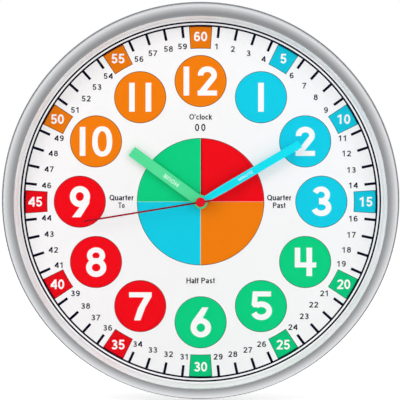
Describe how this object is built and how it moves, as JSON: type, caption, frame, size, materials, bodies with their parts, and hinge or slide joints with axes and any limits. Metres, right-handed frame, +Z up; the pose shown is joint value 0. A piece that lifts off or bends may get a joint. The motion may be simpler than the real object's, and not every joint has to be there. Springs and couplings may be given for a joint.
{
  "type": "teaching wall clock",
  "caption": "Round analogue wall clock for learning to tell the time: domed ring, flat lens, colour-coded dial, three hands and a battery quartz movement.",
  "frame": {"origin": "where the axis of the hands meets the wall plane, on the flat back of the movement", "axes": "+Z up, +X to the right of someone who reads the dial, +Y into the wall, so the dial looks along -Y"},
  "size_m": [0.3, 0.0352, 0.3],
  "materials": {
    "silver_ring": "silver metallic paint on moulded plastic, satin gloss",
    "housing_plastic": "mid grey moulded plastic with fine texture",
    "lens_clear": "clear flat polystyrene lens",
    "spacer_white": "white moulded ring",
    "dial_print": "white printed dial with colour-coded discs and numerals",
    "black_plastic": "black moulded plastic with fine spark texture",
    "natural_plastic": "natural acetal gears and frames",
    "hour_green": "light green paint, satin",
    "minute_cyan": "light cyan paint, satin",
    "second_red": "red paint, satin",
    "brass": "bright turned brass",
    "zinc_steel": "zinc plated steel",
    "copper_winding": "enamelled copper wire",
    "rubber": "black rubber",
    "magnet": "sintered magnet",
    "circuit_green": "green circuit board",
    "cell_sleeve": "plain grey sleeve with a bright nub end"
  },
  "bodies": {
    "case": {"rear_housing": "housing_plastic", "bezel": "silver_ring", "lens": "lens_clear", "lens_spacer_ring": "spacer_white", "dial": "dial_print", "case_screw_1": "zinc_steel", "case_screw_2": "zinc_steel", "case_screw_3": "zinc_steel", "case_screw_4": "zinc_steel", "case_screw_5": "zinc_steel", "case_screw_6": "zinc_steel", "hanger_plate": "zinc_steel", "hanger_screw_1": "zinc_steel", "hanger_screw_2": "zinc_steel", "rubber_washer": "rubber", "mounting_washer": "brass", "mounting_nut": "brass", "movement_front_housing": "black_plastic", "movement_rear_cover": "black_plastic", "train_bridge": "natural_plastic", "battery_contact_positive": "zinc_steel", "battery_contact_negative": "zinc_steel", "circuit_board": "circuit_green", "chip_blob": "black_plastic", "quartz_crystal": "zinc_steel", "stator": "zinc_steel", "coil_core": "zinc_steel", "coil_bobbin": "natural_plastic", "coil_winding": "copper_winding"},
    "battery_cell": {"battery": "cell_sleeve"},
    "second_hand_set": {"second_hand": "second_red", "second_hand_pipe": "brass", "second_hand_cap": "second_red", "second_arbor": "zinc_steel", "second_wheel": "natural_plastic"},
    "rotor": {"rotor_pinion": "natural_plastic", "rotor_magnet": "magnet"},
    "intermediate": {"intermediate_wheel": "natural_plastic"},
    "third": {"third_wheel": "natural_plastic"},
    "centre": {"centre_wheel": "natural_plastic"},
    "minute_hand_set": {"minute_hand": "minute_cyan", "minute_arbor": "natural_plastic"},
    "hour_hand_set": {"hour_hand": "hour_green", "hour_wheel": "natural_plastic"},
    "transfer": {"transfer_wheel": "natural_plastic"},
    "setting": {"setting_knob": "black_plastic"}
  },
  "joints": [
    {"name": "second_hand_turn", "type": "hinge", "parent": "case", "child": "second_hand_set", "pos_m": [0, 0, 0], "axis": [0, 1, 0], "continuous": true},
    {"name": "rotor_turn", "type": "hinge", "parent": "case", "child": "rotor", "pos_m": [0.01539, 0, 0.00637], "axis": [0, 1, 0], "continuous": true},
    {"name": "intermediate_turn", "type": "hinge", "parent": "case", "child": "intermediate", "pos_m": [0.00811, 0, 0.00217], "axis": [0, 1, 0], "continuous": true},
    {"name": "third_turn", "type": "hinge", "parent": "case", "child": "third", "pos_m": [-0.01148, 0, 0.00307], "axis": [0, 1, 0], "continuous": true},
    {"name": "centre_turn", "type": "hinge", "parent": "case", "child": "centre", "pos_m": [0, 0, 0], "axis": [0, 1, 0], "continuous": true},
    {"name": "minute_hand_turn", "type": "hinge", "parent": "case", "child": "minute_hand_set", "pos_m": [0, 0, 0], "axis": [0, 1, 0], "continuous": true},
    {"name": "hour_hand_turn", "type": "hinge", "parent": "case", "child": "hour_hand_set", "pos_m": [0, 0, 0], "axis": [0, 1, 0], "continuous": true},
    {"name": "transfer_turn", "type": "hinge", "parent": "case", "child": "transfer", "pos_m": [0, 0, 0.008], "axis": [0, 1, 0], "continuous": true},
    {"name": "setting_turn", "type": "hinge", "parent": "case", "child": "setting", "pos_m": [0, 0, 0.016], "axis": [0, 1, 0], "continuous": true},
    {"name": "battery_slide", "type": "slide", "parent": "case", "child": "battery_cell", "axis": [0, 1, 0], "range_m": [0, 0.016]}
  ],
  "couplings": [
    {"joint": "rotor_turn", "follows": "second_hand_turn", "ratio": 30},
    {"joint": "intermediate_turn", "follows": "second_hand_turn", "ratio": -5},
    {"joint": "third_turn", "follows": "second_hand_turn", "ratio": -0.13333},
    {"joint": "centre_turn", "follows": "second_hand_turn", "ratio": 0.016667},
    {"joint": "hour_hand_turn", "follows": "minute_hand_turn", "ratio": 0.083333},
    {"joint": "transfer_turn", "follows": "minute_hand_turn", "ratio": -0.33333},
    {"joint": "setting_turn", "follows": "minute_hand_turn", "ratio": 1}
  ]
}
